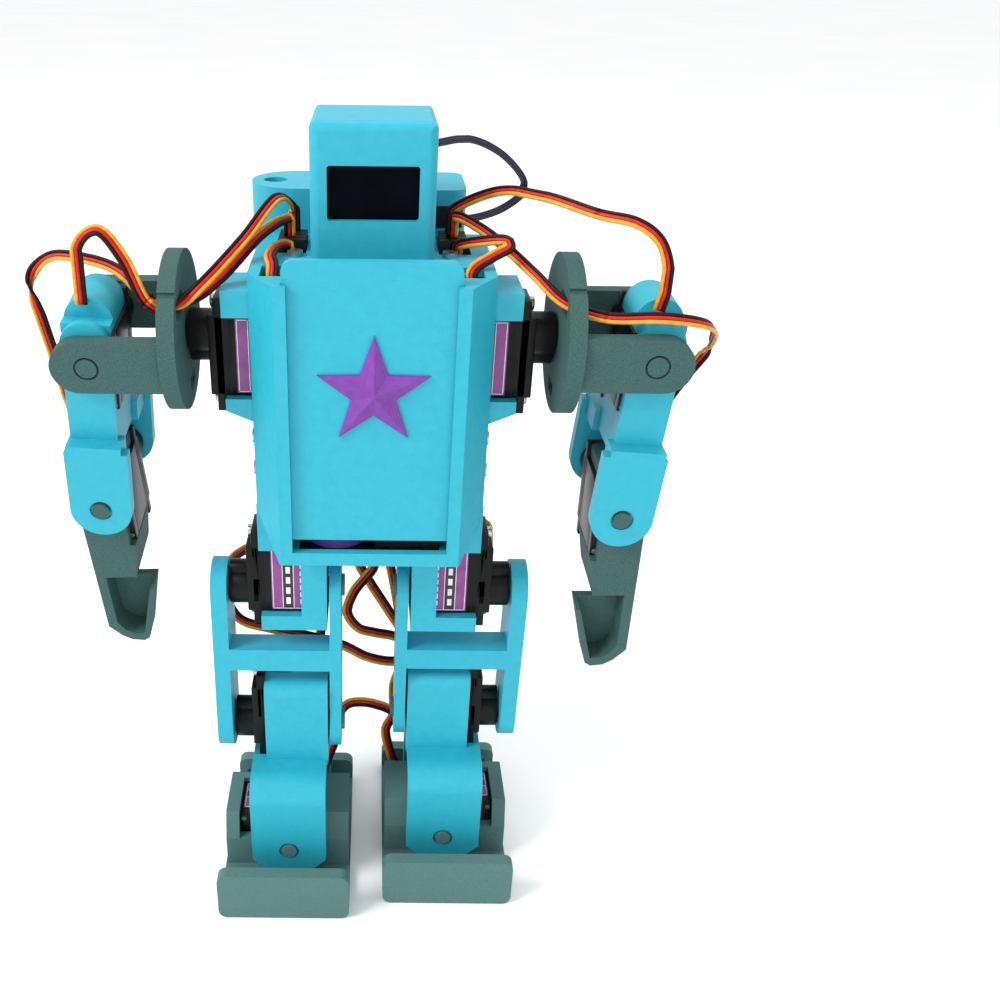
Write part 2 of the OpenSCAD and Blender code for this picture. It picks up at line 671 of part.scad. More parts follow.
module foot(s) color(grey) ankle_frame(s) difference() {
    union() {
        // sole with round corners, and the toe bumper
        translate([0, 0, -ankle_z]) linear_extrude(sole_t)
            round_rect([foot_in, foot_front], [foot_out, foot_back], 5);
        slab_y(foot_front, foot_front + 4) round_rect([foot_in, -ankle_z], [foot_out, toe_h - ankle_z], 3);
        // housing of the ankle servo: upright front, slope, flat top
        slab_x(foot_in + 0.6, foot_out - 0.6) polygon([[-16, -ankle_z + 1], [-16, -1], [-12.8, 8.2],
            [ear_under + rear_bottom - 0.05, 8.2], [ear_under + rear_bottom - 0.05, -ankle_z + 1]]);
        // low heel
        slab_y(foot_back - 4, foot_back) round_rect([foot_in, -ankle_z], [foot_out, -4], 3);
    }
    // servo room, open behind and, beside the front ear, on the slope
    span([-shaft_in - gap, rear_bottom - 0.1, -servo_w / 2 - gap], [far_end + gap, 40, servo_w / 2 + gap]);
    translate([0, rear_bottom, 0]) shaft_y_out() servo_holes(screw_r + 0.05, ear_under - 8, ear_under + 1);
    span([5, -30, -1], [far_end + gap, 3, 12]);
}

module ankle_servo(s) ankle_frame(s) translate([0, rear_bottom, 0]) shaft_y_out() servo();

module ankle_pin(s) color(grey) ankle_frame(s) bar_y(shin_front - 0.4, -16.02, pin_r);

// ---- Leads ----
// A flat three-wire ribbon swept along its route: eight sides, wider than thick
lead_w = 3.6;
lead_t = 1.3;
thin_w = 2.4;
function unit(v) = v / norm(v);
function heading(p, i) = unit(p[min(i + 1, len(p) - 1)] - p[max(i - 1, 0)]);

// Each ring has its width across the route and across "face", the way the flat side looks
module lead(p, w = lead_w, t = lead_t, face = [0.05, -1, 1]) {
    n = len(p);
    corner = [for (k = [0 : 7]) [w / 2 * cos(45 * k + 22.5), t / 2 * sin(45 * k + 22.5)] / cos(22.5)];
    points = [for (i = [0 : n - 1])
        let (d = heading(p, i), across = unit(cross(d, face)), up = cross(across, d))
        for (c = corner) p[i] + c[0] * across + c[1] * up];
    polyhedron(points = points, faces = concat(
        [[for (k = [7 : -1 : 0]) k]],
        [[for (k = [0 : 7]) (n - 1) * 8 + k]],
        [for (i = [0 : n - 2], k = [0 : 7]) [i * 8 + k, (i + 1) * 8 + (k + 1) % 8, (i + 1) * 8 + k]],
        [for (i = [0 : n - 2], k = [0 : 7]) [i * 8 + k, i * 8 + (k + 1) % 8, (i + 1) * 8 + (k + 1) % 8]]));
}

// Routes in the torso's frame, depths from the plane of the servo shafts
display_route = [[17, 24, 229], [26, 25, 230], [35, 28, 226], [42, 32, 219], [43, 34, 214], [38, 33, 210],
    [32, 31, 208], [26, 30, 207]];
right_roll_route = [[-22, 23, 205.1], [-22, 23, 211], [-26, 14, 216], [-34, 1, 208], [-44, -10, 199],
    [-52, -12, 193], [-58, -13, 195], [-63, -12, 206], [-69, -11, 213], [-75, -11, 208], [-75, -12, 194]];
right_elbow_route = [[-23, 17, 205.1], [-23, 17, 210], [-30, 6, 208], [-40, -4, 199], [-50, -8, 193],
    [-58, -7, 194], [-68, 0, 200], [-79, 4, 202], [-88, 7, 201], [-94, 8, 194], [-92, 8, 182],
    [-90, 10, 168], [-89, 12, 158], [-87, 13, 149]];
left_roll_route = [[22, 23, 205.1], [22, 23, 211], [34, 16, 218], [45, 5, 219], [57, -5, 217],
    [66, -10, 216], [72, -12, 212], [75, -12, 205], [75, -12, 199], [74, -12, 194]];
left_elbow_route = [[22, 17, 205.1], [22, 17, 211], [29, 12, 209], [36, 6, 205], [43, -1, 200],
    [50, -9, 195], [60, -15, 193], [72, -18, 194], [81, -17, 193], [88, -12, 190], [92, -4, 185],
    [93, 4, 177], [90, 10, 167], [84, 12, 154], [79, 11, 142]];
shoulder_routes = [[[-23, 11.6, 200], [-23, 11.6, 204], [-26, 7, 204.5], [-27, 0, 204], [-26, -5, 203],
    [-26, -8, 200], [-26, -8, 193]],
    [[23, 11.6, 200], [23, 11.6, 204], [30, 6, 207], [35, 3, 208], [36, 0, 207], [31, -3, 205],
    [26, -6, 202], [26, -8, 195]]];
hip_routes = [[[-37, 9, 110], [-44, 13, 102], [-47, 16, 88], [-43, 17, 77], [-32, 17, 73], [-20, 16, 71],
    [-9, 14, 69], [0, 14, 64], [9, 16, 61], [16, 19, 62], [19, 24, 70], [14, 25, 90], [8, 21, 112],
    [5.5, 18, 121]],
    [[37, 9, 110], [36, 14, 116], [24, 14, 114], [12, 12, 114], [6, 12, 117], [5, 11, 121]]];
left_leg_routes = [[[-5, 17.5, 121], [-4, 18, 108], [-4, 18, 100], [1, 18, 90], [5, 18, 83], [9, 18, 76],
    [14, 17, 68], [22, 16, 61]],
    [[0, 18, 121], [2, 22, 113], [6, 27, 97], [10, 28, 75], [12, 26, 56], [9, 22, 46], [9, 17, 38],
    [6.4, 14, 33.5], [7.3, 14, 26], [10.3, 14, 17], [17, 15, 12]]];
right_leg_routes = [[[-5, 13, 121], [-8, 13, 113], [-13, 15, 102], [-15, 19, 88], [-16, 22, 72],
    [-17, 19, 64], [-18, 13, 60]],
    [[-17, 9, 14], [-13.5, 9, 25], [-10.8, 9, 34], [-10.5, 10, 41], [-7, 12, 45.5], [-1, 12, 46.5],
    [5, 13, 44], [8.5, 15, 41], [10.5, 18, 43], [12, 21, 54], [12, 22, 63], [9, 19, 69], [2, 17, 72],
    [-3.5, 14, 76], [-7, 12, 83.5], [-5, 12, 91], [-1.4, 13, 96], [1.5, 14, 100], [2, 15, 108],
    [1.5, 14, 121]]];

module display_lead() color("navy") torso_frame() lead(display_route, thin_w, lead_t);

module torso_leads() color("brown") torso_frame() for (p = concat(shoulder_routes, hip_routes)) lead(p);

module arm_leads(routes) color("brown") torso_frame() for (p = routes) lead(p);

module leg_leads(routes) color("brown") torso_frame() for (p = routes) lead(p);

// ---- What is drawn ----
torso_shell();
back_box();
head_shell();
head_back_cover();
display_glass();
display_board();
controller_board();
servo_plugs();
battery_holder();
battery_cell();
torso_screws();
shoulder_servos();
hip_servos();
power_switch();
display_lead();
torso_leads();
chest_cover();
star_badge();
switch_slider();
shoulder_bracket(1);  // left_shoulder_bracket
shoulder_horns(1);  // left_shoulder_horns
upper_arm(1);  // left_upper_arm
roll_servo(1);  // left_roll_servo
shoulder_pin(1);  // left_shoulder_pin
elbow_horn(1);  // left_elbow_horn
forearm(1);  // left_forearm
elbow_servo(1);  // left_elbow_servo
elbow_pin(1);  // left_elbow_pin
thigh_frame(1);  // left_thigh_frame
thigh_horns(1);  // left_thigh_horns
thigh_pins(1);  // left_thigh_pins
shin(1);  // left_shin
knee_servo(1);  // left_knee_servo
ankle_horn(1);  // left_ankle_horn
foot(1);  // left_foot
ankle_servo(1);  // left_ankle_servo
ankle_pin(1);  // left_ankle_pin
shoulder_bracket(-1);  // right_shoulder_bracket
shoulder_horns(-1);  // right_shoulder_horns
upper_arm(-1);  // right_upper_arm
roll_servo(-1);  // right_roll_servo
shoulder_pin(-1);  // right_shoulder_pin
elbow_horn(-1);  // right_elbow_horn
forearm(-1);  // right_forearm
elbow_servo(-1);  // right_elbow_servo
elbow_pin(-1);  // right_elbow_pin
thigh_frame(-1);  // right_thigh_frame
thigh_horns(-1);  // right_thigh_horns
thigh_pins(-1);  // right_thigh_pins
shin(-1);  // right_shin
knee_servo(-1);  // right_knee_servo
ankle_horn(-1);  // right_ankle_horn
foot(-1);  // right_foot
ankle_servo(-1);  // right_ankle_servo
ankle_pin(-1);  // right_ankle_pin
arm_leads([left_roll_route, left_elbow_route]);  // left_arm_leads
leg_leads(left_leg_routes);  // left_leg_leads
arm_leads([right_roll_route, right_elbow_route]);  // right_arm_leads
leg_leads(right_leg_routes);  // right_leg_leads
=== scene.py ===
# Looks of the small humanoid robot kit: studio scene, printed plastics, servos with their labels
# and the three-wire ribbons. Sizes below are in millimetres and are scaled once, on placing.
import bpy
import bmesh
import json
import math
from mathutils import Matrix, Vector


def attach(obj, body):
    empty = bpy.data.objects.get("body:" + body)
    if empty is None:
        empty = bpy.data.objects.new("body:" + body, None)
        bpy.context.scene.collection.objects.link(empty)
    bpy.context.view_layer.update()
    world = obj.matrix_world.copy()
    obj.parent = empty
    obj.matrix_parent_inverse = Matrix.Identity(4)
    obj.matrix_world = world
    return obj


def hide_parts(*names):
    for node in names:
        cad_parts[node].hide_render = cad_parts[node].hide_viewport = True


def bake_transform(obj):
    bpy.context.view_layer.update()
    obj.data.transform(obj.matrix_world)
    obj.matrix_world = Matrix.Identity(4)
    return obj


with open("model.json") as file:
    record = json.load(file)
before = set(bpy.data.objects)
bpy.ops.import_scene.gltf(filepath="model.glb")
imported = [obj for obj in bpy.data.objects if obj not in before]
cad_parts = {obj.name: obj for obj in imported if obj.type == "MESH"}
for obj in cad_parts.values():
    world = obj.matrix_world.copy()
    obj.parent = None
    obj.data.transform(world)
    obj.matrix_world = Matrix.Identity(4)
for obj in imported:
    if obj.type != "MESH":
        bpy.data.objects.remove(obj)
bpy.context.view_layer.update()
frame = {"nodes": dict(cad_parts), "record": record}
scene = bpy.context.scene
nodes = frame["nodes"]
MM = Matrix.Scale(0.001, 4)

# Places of the servos, as in the CAD. The left knee and ankle are STEP behind the shafts of the
# shoulders and hips, and the right knee and ankle are STEP in front of them.
SHAFT_Y = -10.018
STEP = 3.264
SHOULDER_Z = 183.5
SHOULDER_SERVO_X = 21.2
ROLL_X = 73.7
ROLL_Z = -1
UPPER_ARM = 46.5
HIP_Z = 101.793
LEG_SERVO_X = 14.2
KNEE_Z = 52
ANKLE_X = 25.2
ANKLE_Z = 15
SERVO_BACK = -12.7

# The arms at rest, in degrees: pitch at the shoulder, roll at the shoulder, bend at the elbow
REST_ARMS = {"left": (3, -4, 4.5), "right": (9.3, 3.5, -6.5)}


def turn(degrees, axis):
    return Matrix.Rotation(math.radians(degrees), 4, axis)


def move(x, y, z):
    return Matrix.Translation((x, y, z))


def side(s):
    return Matrix.Diagonal((s, 1, 1, 1))


# ---- Camera ----
CAMERA_PLACE = (0, -0.28802, 0.2792)
CAMERA_TILT = 62
CAMERA_ROLL = 0.6

camera = bpy.data.objects.new("camera", bpy.data.cameras.new("camera"))
camera.data.lens = 38.34
camera.data.sensor_width = 36
camera.data.shift_x = 0.13
camera.data.clip_start = 0.01
camera.matrix_world = move(*CAMERA_PLACE) @ turn(CAMERA_TILT, "X") @ turn(CAMERA_ROLL, "Z")
scene.collection.objects.link(camera)
scene.camera = camera


# ---- Materials ----
GRAIN_DEPTH = 0.0002
LAYER_DEPTH = 0.0001
LAYER_HEIGHT = 0.0004
# One band of the wave texture is this long at a scale of 1
WAVE_BAND = 0.314


def srgb(r, g, b):
    def linear(c):
        c /= 255
        return c / 12.92 if c <= 0.04045 else ((c + 0.055) / 1.055) ** 2.4
    return (linear(r), linear(g), linear(b), 1)


def material(name, colours, scale, rough, bump=0.0, layers=0.0, direction="Z", detail=4.0,
             spread=(0.35, 0.65), coat=0.0, specular=0.5):
    """Noise between two colours, with a grain bump and, for prints, the lines of the layers."""
    m = bpy.data.materials.new(name)
    m.use_nodes = True
    tree = m.node_tree
    shader = tree.nodes["Principled BSDF"]
    place = tree.nodes.new("ShaderNodeTexCoord")
    noise = tree.nodes.new("ShaderNodeTexNoise")
    noise.inputs["Scale"].default_value = scale
    noise.inputs["Detail"].default_value = detail
    tree.links.new(place.outputs["Object"], noise.inputs["Vector"])
    ramp = tree.nodes.new("ShaderNodeValToRGB")
    ramp.color_ramp.elements[0].position = spread[0]
    ramp.color_ramp.elements[1].position = spread[1]
    ramp.color_ramp.elements[0].color = colours[0]
    ramp.color_ramp.elements[1].color = colours[1]
    tree.links.new(noise.outputs["Fac"], ramp.inputs["Fac"])
    tree.links.new(ramp.outputs["Color"], shader.inputs["Base Color"])
    shader.inputs["Roughness"].default_value = rough
    shader.inputs["Specular IOR Level"].default_value = specular
    shader.inputs["Coat Weight"].default_value = coat
    shader.inputs["Coat Roughness"].default_value = 0.15
    normal = None
    if bump:
        grain = tree.nodes.new("ShaderNodeBump")
        grain.inputs["Strength"].default_value = bump
        grain.inputs["Distance"].default_value = GRAIN_DEPTH
        tree.links.new(noise.outputs["Fac"], grain.inputs["Height"])
        normal = grain
    if layers:
        wave = tree.nodes.new("ShaderNodeTexWave")
        wave.bands_direction = direction
        wave.inputs["Scale"].default_value = WAVE_BAND / LAYER_HEIGHT
        wave.inputs["Distortion"].default_value = 0.6
        wave.inputs["Detail Scale"].default_value = 0.05
        tree.links.new(place.outputs["Object"], wave.inputs["Vector"])
        lines = tree.nodes.new("ShaderNodeBump")
        lines.inputs["Strength"].default_value = layers
        lines.inputs["Distance"].default_value = LAYER_DEPTH
        tree.links.new(wave.outputs["Fac"], lines.inputs["Height"])
        if normal:
            tree.links.new(normal.outputs["Normal"], lines.inputs["Normal"])
        normal = lines
    if normal:
        tree.links.new(normal.outputs["Normal"], shader.inputs["Normal"])
    return m


blue = material("blue_print", (srgb(36, 159, 181), srgb(39, 164, 186)), scale=420, rough=0.5,
                bump=0.05, layers=0.16, specular=0.35)
grey = material("grey_print", (srgb(71, 107, 105), srgb(85, 122, 120)), scale=3800, rough=0.75,
                bump=0.3, layers=0.12, detail=5, spread=(0.34, 0.68), specular=0.25)
# Painted shade: a darker copy of the grey print. It stands in for the shade on the forearms, brackets
# and arm pins.
grey_with_painted_shade = material("grey_print_with_painted_shade", (srgb(48, 77, 74), srgb(67, 101, 97)), scale=3800,
                    rough=0.78, bump=0.35, layers=0.12, detail=5, spread=(0.34, 0.68),
                    specular=0.2)
star = material("star_print", (srgb(108, 42, 142), srgb(116, 50, 152)), scale=500, rough=0.45,
                bump=0.1, layers=0.5, direction="Y")
case = material("servo_case", (srgb(10, 14, 13), srgb(16, 22, 20)), scale=220, rough=0.36,
                specular=0.14)
label = material("servo_label", (srgb(118, 48, 118), srgb(134, 60, 132)), scale=300, rough=0.3)
label_black = material("servo_label_black", (srgb(12, 12, 15), srgb(20, 20, 24)), scale=300,
                       rough=0.3)
label_line = material("servo_label_line", (srgb(214, 198, 220), srgb(236, 228, 240)), scale=300,
                      rough=0.35)
black = material("moulded_black", (srgb(12, 14, 15), srgb(22, 24, 25)), scale=900, rough=0.5,
                 bump=0.1, specular=0.3)
glass = material("display_glass", (srgb(2, 4, 9), srgb(5, 9, 16)), scale=90, rough=0.3,
                 specular=0.02)
board = material("circuit_board", (srgb(6, 40, 66), srgb(14, 60, 88)), scale=700, rough=0.4,
                 bump=0.2)
cell = material("cell_wrap", (srgb(92, 70, 150), srgb(106, 84, 168)), scale=120, rough=0.28,
                coat=0.4)
steel = material("steel", (srgb(150, 154, 158), srgb(196, 199, 203)), scale=1500, rough=0.28,
                 bump=0.15)
brass = material("brass", (srgb(170, 130, 60), srgb(205, 165, 90)), scale=1500, rough=0.3,
                 bump=0.15)
for metal in (steel, brass):
    metal.node_tree.nodes["Principled BSDF"].inputs["Metallic"].default_value = 1
wire_brown = material("wire_brown", (srgb(34, 12, 12), srgb(46, 18, 17)), scale=700, rough=0.45,
                      bump=0.05, specular=0.15)
wire_red = material("wire_red", (srgb(168, 20, 15), srgb(196, 30, 22)), scale=700, rough=0.4,
                    bump=0.05, specular=0.3)
wire_orange = material("wire_orange", (srgb(204, 136, 30), srgb(222, 158, 48)), scale=700,
                       rough=0.4, bump=0.05, specular=0.3)
wire_navy = material("wire_navy", (srgb(20, 26, 66), srgb(34, 42, 92)), scale=700, rough=0.38,
                     bump=0.05)
wire_black = material("wire_black", (srgb(12, 12, 16), srgb(24, 24, 30)), scale=700, rough=0.38,
                      bump=0.05)
floor_paint = material("floor", (srgb(246, 247, 248), srgb(250, 250, 251)), scale=4, rough=0.9)


# ---- Cords: three-wire ribbons between the plugs and the servos ----
# The wires of a ribbon lie side by side, across both the route and FLAT_FROM.
WIRE_SIDES = 8
WIRE_R = 0.55
THIN_WIRE_R = 0.3
FLAT_FROM = Vector((0.05, -1, 1))
SAMPLE = 1.0


def smooth(points):
    """A curve through the points, about one sample per millimetre, and each point's place in it."""
    pts = [Vector(p) for p in points]
    low = [min(p[i] for p in pts) for i in range(3)]
    high = [max(p[i] for p in pts) for i in range(3)]
    ends = [2 * pts[0] - pts[1]] + pts + [2 * pts[-1] - pts[-2]]
    line, at = [], []
    for k in range(1, len(ends) - 2):
        a, b, c, d = ends[k - 1:k + 3]
        at.append(len(line))
        n = max(2, round((c - b).length / SAMPLE))
        for j in range(n):
            t = j / n
            p = 0.5 * (2 * b + (c - a) * t + (2 * a - 5 * b + 4 * c - d) * t * t
                       + (3 * b - a - 3 * c + d) * t ** 3)
            line.append(Vector([min(max(p[i], low[i]), high[i]) for i in range(3)]))
    at.append(len(line))
    line.append(pts[-1])
    return line, at


def half_turns(line, at, twists):
    """The angle of the ribbon at each sample: each twist, from point to point, is half a turn."""
    angles = [0.0] * len(line)
    for start, end in twists:
        for i in range(len(line)):
            t = min(max((i - at[start]) / (at[end] - at[start]), 0), 1)
            angles[i] += math.pi * (1 - t * t * (3 - 2 * t))
    return angles


def ribbon(name, line, angles, wires, radius, first, last):
    """Wires side by side along line[first:last + 1], flat as in the CAD where the angle is 0."""
    bm = bmesh.new()
    count = len(wires)
    for w in range(count):
        shift = (w - (count - 1) / 2) * radius * 2
        rings = []
        for i in range(first, last + 1):
            d = (line[min(i + 1, len(line) - 1)] - line[max(i - 1, 0)]).normalized()
            across = Matrix.Rotation(angles[i], 3, d) @ d.cross(FLAT_FROM).normalized()
            up = across.cross(d)
            c = line[i] + across * shift
            ring = []
            for k in range(WIRE_SIDES):
                a = k * 2 * math.pi / WIRE_SIDES
                ring.append(bm.verts.new(c + (across * math.cos(a) + up * math.sin(a)) * radius))
            rings.append(ring)
        for a, b in zip(rings, rings[1:]):
            for k in range(WIRE_SIDES):
                n = (k + 1) % WIRE_SIDES
                f = bm.faces.new((a[k], a[n], b[n], b[k]))
                f.material_index = w
                f.smooth = True
        for ring, flip in ((rings[0], True), (rings[-1], False)):
            f = bm.faces.new(ring[::-1] if flip else ring)
            f.material_index = w
    bm.transform(MM @ move(0, SHAFT_Y, 0))
    bmesh.ops.recalc_face_normals(bm, faces=bm.faces)
    mesh = bpy.data.meshes.new(name)
    bm.to_mesh(mesh)
    bm.free()
    for m in wires:
        mesh.materials.append(m)
    ob = bpy.data.objects.new(name, mesh)
    scene.collection.objects.link(ob)
    return ob


def lead(name, node, points, parts, wires=(wire_brown, wire_red, wire_orange), radius=WIRE_R,
         twists=()):
    """One lead along its route, in pieces of (body, next body, from point, to point).

    A piece that crosses a joint, from one body to the next, is left where it is made and attached to
    neither."""
    line, at = smooth(points)
    angles = half_turns(line, at, twists)
    for k, (a, b, start, end) in enumerate(parts):
        i, j = at[start], at[end]
        piece = ribbon(f"{name}_{k + 1}", line, angles, wires, radius, i, j)
        if a == b:
            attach(piece, a)
        else:
            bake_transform(piece)
        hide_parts(node)


lead("right_roll_lead", "right_arm_leads",
     [(-22, 23, 205.1), (-22, 23, 211), (-26, 14, 216), (-34, 1, 208), (-44, -10, 199), (-52, -12, 193),
      (-58, -13, 195), (-63, -12, 206), (-69, -11, 213), (-75, -11, 208), (-75, -12, 194)],
     [("torso", "right_shoulder", 0, 6), ("right_shoulder", "right_upper_arm", 6, 10)], twists=[(4, 6)])
lead("right_elbow_lead", "right_arm_leads",
     [(-23, 17, 205.1), (-23, 17, 210), (-30, 6, 208), (-40, -4, 199), (-50, -8, 193), (-58, -7, 194),
      (-68, 0, 200), (-79, 4, 202), (-88, 7, 201), (-94, 8, 194), (-92, 8, 182), (-90, 10, 168),
      (-89, 12, 158), (-87, 13, 149)],
     [("torso", "right_shoulder", 0, 5), ("right_shoulder", "right_upper_arm", 5, 9),
      ("right_upper_arm", "right_forearm", 9, 13)], twists=[(3, 5), (8, 10)])
lead("left_roll_lead", "left_arm_leads",
     [(22, 23, 205.1), (22, 23, 211), (34, 16, 218), (45, 5, 219), (57, -5, 217), (66, -10, 216),
      (72, -12, 212), (75, -12, 205), (75, -12, 199), (74, -12, 194)],
     [("torso", "left_shoulder", 0, 4), ("left_shoulder", "left_upper_arm", 4, 9)])
lead("left_elbow_lead", "left_arm_leads",
     [(22, 17, 205.1), (22, 17, 211), (29, 12, 209), (36, 6, 205), (43, -1, 200), (50, -9, 195),
      (60, -15, 193), (72, -18, 194), (81, -17, 193), (88, -12, 190), (92, -4, 185), (93, 4, 177),
      (90, 10, 167), (84, 12, 154), (79, 11, 142)],
     [("torso", "left_shoulder", 0, 6), ("left_shoulder", "left_upper_arm", 6, 10),
      ("left_upper_arm", "left_forearm", 10, 14)])
lead("right_shoulder_lead", "torso_leads",
     [(-23, 11.6, 200), (-23, 11.6, 204), (-26, 7, 204.5), (-27, 0, 204), (-26, -5, 203),
      (-26, -8, 200), (-26, -8, 193)], [("torso", "torso", 0, 6)])
lead("left_shoulder_lead", "torso_leads",
     [(23, 11.6, 200), (23, 11.6, 204), (30, 6, 207), (35, 3, 208), (36, 0, 207), (31, -3, 205),
      (26, -6, 202), (26, -8, 195)], [("torso", "torso", 0, 7)])
lead("right_hip_lead", "torso_leads",
     [(-37, 9, 110), (-44, 13, 102), (-47, 16, 88), (-43, 17, 77), (-32, 17, 73), (-20, 16, 71),
      (-9, 14, 69), (0, 14, 64), (9, 16, 61), (16, 19, 62), (19, 24, 70), (14, 25, 90), (8, 21, 112),
      (5.5, 18, 121)],
     [("torso", "right_thigh", 0, 4), ("right_thigh", "torso", 4, 13)])
lead("left_hip_lead", "torso_leads",
     [(37, 9, 110), (36, 14, 116), (24, 14, 114), (12, 12, 114), (6, 12, 117), (5, 11, 121)],
     [("torso", "torso", 0, 5)])
lead("left_knee_lead", "left_leg_leads",
     [(-5, 17.5, 121), (-4, 18, 108), (-4, 18, 100), (1, 18, 90), (5, 18, 83), (9, 18, 76),
      (14, 17, 68), (22, 16, 61)],
     [("torso", "left_thigh", 0, 3), ("left_thigh", "left_shin", 3, 7)])
lead("left_ankle_lead", "left_leg_leads",
     [(0, 18, 121), (2, 22, 113), (6, 27, 97), (10, 28, 75), (12, 26, 56), (9, 22, 46), (9, 17, 38),
      (6.4, 14, 33.5), (7.3, 14, 26), (10.3, 14, 17), (17, 15, 12)],
     [("torso", "left_thigh", 0, 3), ("left_thigh", "left_shin", 3, 5),
      ("left_shin", "left_foot", 5, 10)])
lead("right_knee_lead", "right_leg_leads",
     [(-5, 13, 121), (-8, 13, 113), (-13, 15, 102), (-15, 19, 88), (-16, 22, 72), (-17, 19, 64),
      (-18, 13, 60)],
     [("torso", "right_thigh", 0, 3), ("right_thigh", "right_shin", 3, 6)])
lead("right_ankle_lead", "right_leg_leads",
     [(1.5, 14, 121), (2, 15, 108), (1.5, 14, 100), (-1.4, 13, 96), (-5, 12, 91), (-7, 12, 83.5),
      (-3.5, 14, 76), (2, 17, 72), (9, 19, 69), (12, 22, 63), (12, 21, 54), (10.5, 18, 43),
      (8.5, 15, 41), (5, 13, 44), (-1, 12, 46.5), (-7, 12, 45.5), (-10.5, 10, 41), (-10.8, 9, 34),
      (-13.5, 9, 25), (-17, 9, 14)],
     [("torso", "right_thigh", 0, 5), ("right_thigh", "right_shin", 5, 12),
      ("right_shin", "right_foot", 12, 19)])
lead("display_lead", "display_lead",
     [(17, 24, 229), (26, 25, 230), (35, 28, 226), (42, 32, 219), (43, 34, 214), (38, 33, 210),
      (32, 31, 208), (26, 30, 207)], [("torso", "torso", 0, 7)],
     wires=(wire_black, wire_navy, wire_black, wire_navy), radius=THIN_WIRE_R)


# ---- Servos ----
# A servo's own frame: its shaft is the Z axis, z = 0 is the bottom of the case, and the long side of
# the case runs along X. The case is a bottom cap, a middle and a top cap, with thin seams between.
CASE_X = (-6, 16.7)
CASE_HALF = 6.15
CASE_TOP = 22.7
SEAM = 0.15
BOTTOM_CAP = 2.9
TOP_CAP = 17.25
EARS_X = (-10.65, 21.35)
EARS_Z = (18.5, 21)
EAR_SCREWS_X = (-8.35, 19.05)
CASE_SCREWS_X = (-4.7, 15.4)
CASE_SCREWS_Y = (-4.8, 4.8)
TOWER_Z = (22.5, 28.4)
TOWER_R = 5.92
SIDE_TOWER_X = 5.85
SIDE_TOWER_R = 2.75
SPLINE_Z = (28.2, 31.6)
SPLINE_R = 2.3
LABEL_Z = (3.6, 15.3)
LABEL_LINE = 0.2
SHARP_ANGLE = 35


def brick(bm, low, high, bevel=0.0):
    made = bmesh.ops.create_cube(bm, size=1)["verts"]
    for v in made:
        v.co = Vector([low[i] + (v.co[i] + 0.5) * (high[i] - low[i]) for i in range(3)])
    if bevel:
        edges = list({e for v in made for e in v.link_edges})
        bmesh.ops.bevel(bm, geom=edges, offset=bevel, segments=2, affect="EDGES", profile=0.5)


def rod(bm, x, y, z0, z1, radius, bevel=0.0, segments=24):
    """A round bar along Z whose upper rim is rounded."""
    made = bmesh.ops.create_cone(bm, cap_ends=True, segments=segments, radius1=radius,
                                 radius2=radius, depth=z1 - z0,
                                 matrix=move(x, y, (z0 + z1) / 2))["verts"]
    if bevel:
        edges = {e for v in made for e in v.link_edges}
        rim = [e for e in edges if all(v.co.z > z1 - 1e-4 for v in e.verts)]
        bmesh.ops.bevel(bm, geom=rim, offset=bevel, segments=2, affect="EDGES", profile=0.5)


def case_layer(bm, z0, z1, bevel=0.0, inset=0.0):
    brick(bm, (CASE_X[0] + inset, inset - CASE_HALF, z0),
          (CASE_X[1] - inset, CASE_HALF - inset, z1), bevel)


def both_faces(bm, x0, x1, out, z0, z1):
    """A thin layer on the two broad sides of the case, out from its inner to its outer face."""
    for y in (-1, 1):
        brick(bm, (x0, min(out[0] * y, out[1] * y), z0), (x1, max(out[0] * y, out[1] * y), z1))


def shaped(name, build, place, paint, body):
    """A mesh made by build in the servo's frame, put in its place on the body."""
    bm = bmesh.new()
    build(bm)
    bm.transform(MM @ place)
    if place.determinant() < 0:
        bmesh.ops.reverse_faces(bm, faces=bm.faces)
    mesh = bpy.data.meshes.new(name)
    bm.to_mesh(mesh)
    bm.free()
    mesh.materials.append(paint)
    mesh.shade_smooth()
    mesh.set_sharp_from_angle(angle=math.radians(SHARP_ANGLE))
    ob = bpy.data.objects.new(name, mesh)
    scene.collection.objects.link(ob)
    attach(ob, body)
    return ob


def servo_case(bm):
    case_layer(bm, 0, BOTTOM_CAP, 0.35)
    case_layer(bm, BOTTOM_CAP - 0.1, TOP_CAP + SEAM, inset=0.1)
    case_layer(bm, BOTTOM_CAP + SEAM, TOP_CAP - SEAM, 0.3)
    case_layer(bm, TOP_CAP, CASE_TOP, 0.45)
    brick(bm, (EARS_X[0], -CASE_HALF, EARS_Z[0]), (EARS_X[1], CASE_HALF, EARS_Z[1]), 0.3)
    rod(bm, 0, 0, *TOWER_Z, TOWER_R, 0.5, segments=56)
    rod(bm, SIDE_TOWER_X, 0, *TOWER_Z, SIDE_TOWER_R, 0.4, segments=32)


def servo_band(bm):
    both_faces(bm, -5.2, 15.9, (6.1, 6.2), *LABEL_Z)
    brick(bm, (CASE_X[1] - 0.05, -5.6, LABEL_Z[0]), (CASE_X[1] + 0.05, 5.6, LABEL_Z[1]))


def servo_strip(bm):
    both_faces(bm, -4.8, 15.5, (CASE_HALF, 6.22), 8.7, 11.8)


def servo_print(bm):
    """Plain lines, frame and bars in the place of the label's print."""
    out = (CASE_HALF, 6.24)
    for z in (4.0, 8.5, 11.8, 14.75):
        both_faces(bm, -4.9, 15.6, out, z, z + LABEL_LINE)
    for x in (-4.9, 15.4):
        both_faces(bm, x, x + LABEL_LINE, out, 4.0, 14.95)
    for k in range(5):
        both_faces(bm, -3.2 + 3.6 * k, -0.9 + 3.6 * k, out, 9.6, 10.9)
    for k in range(7):
        both_faces(bm, -3.2 + 2.5 * k, -1.6 + 2.5 * k, out, 5.9, 6.7)


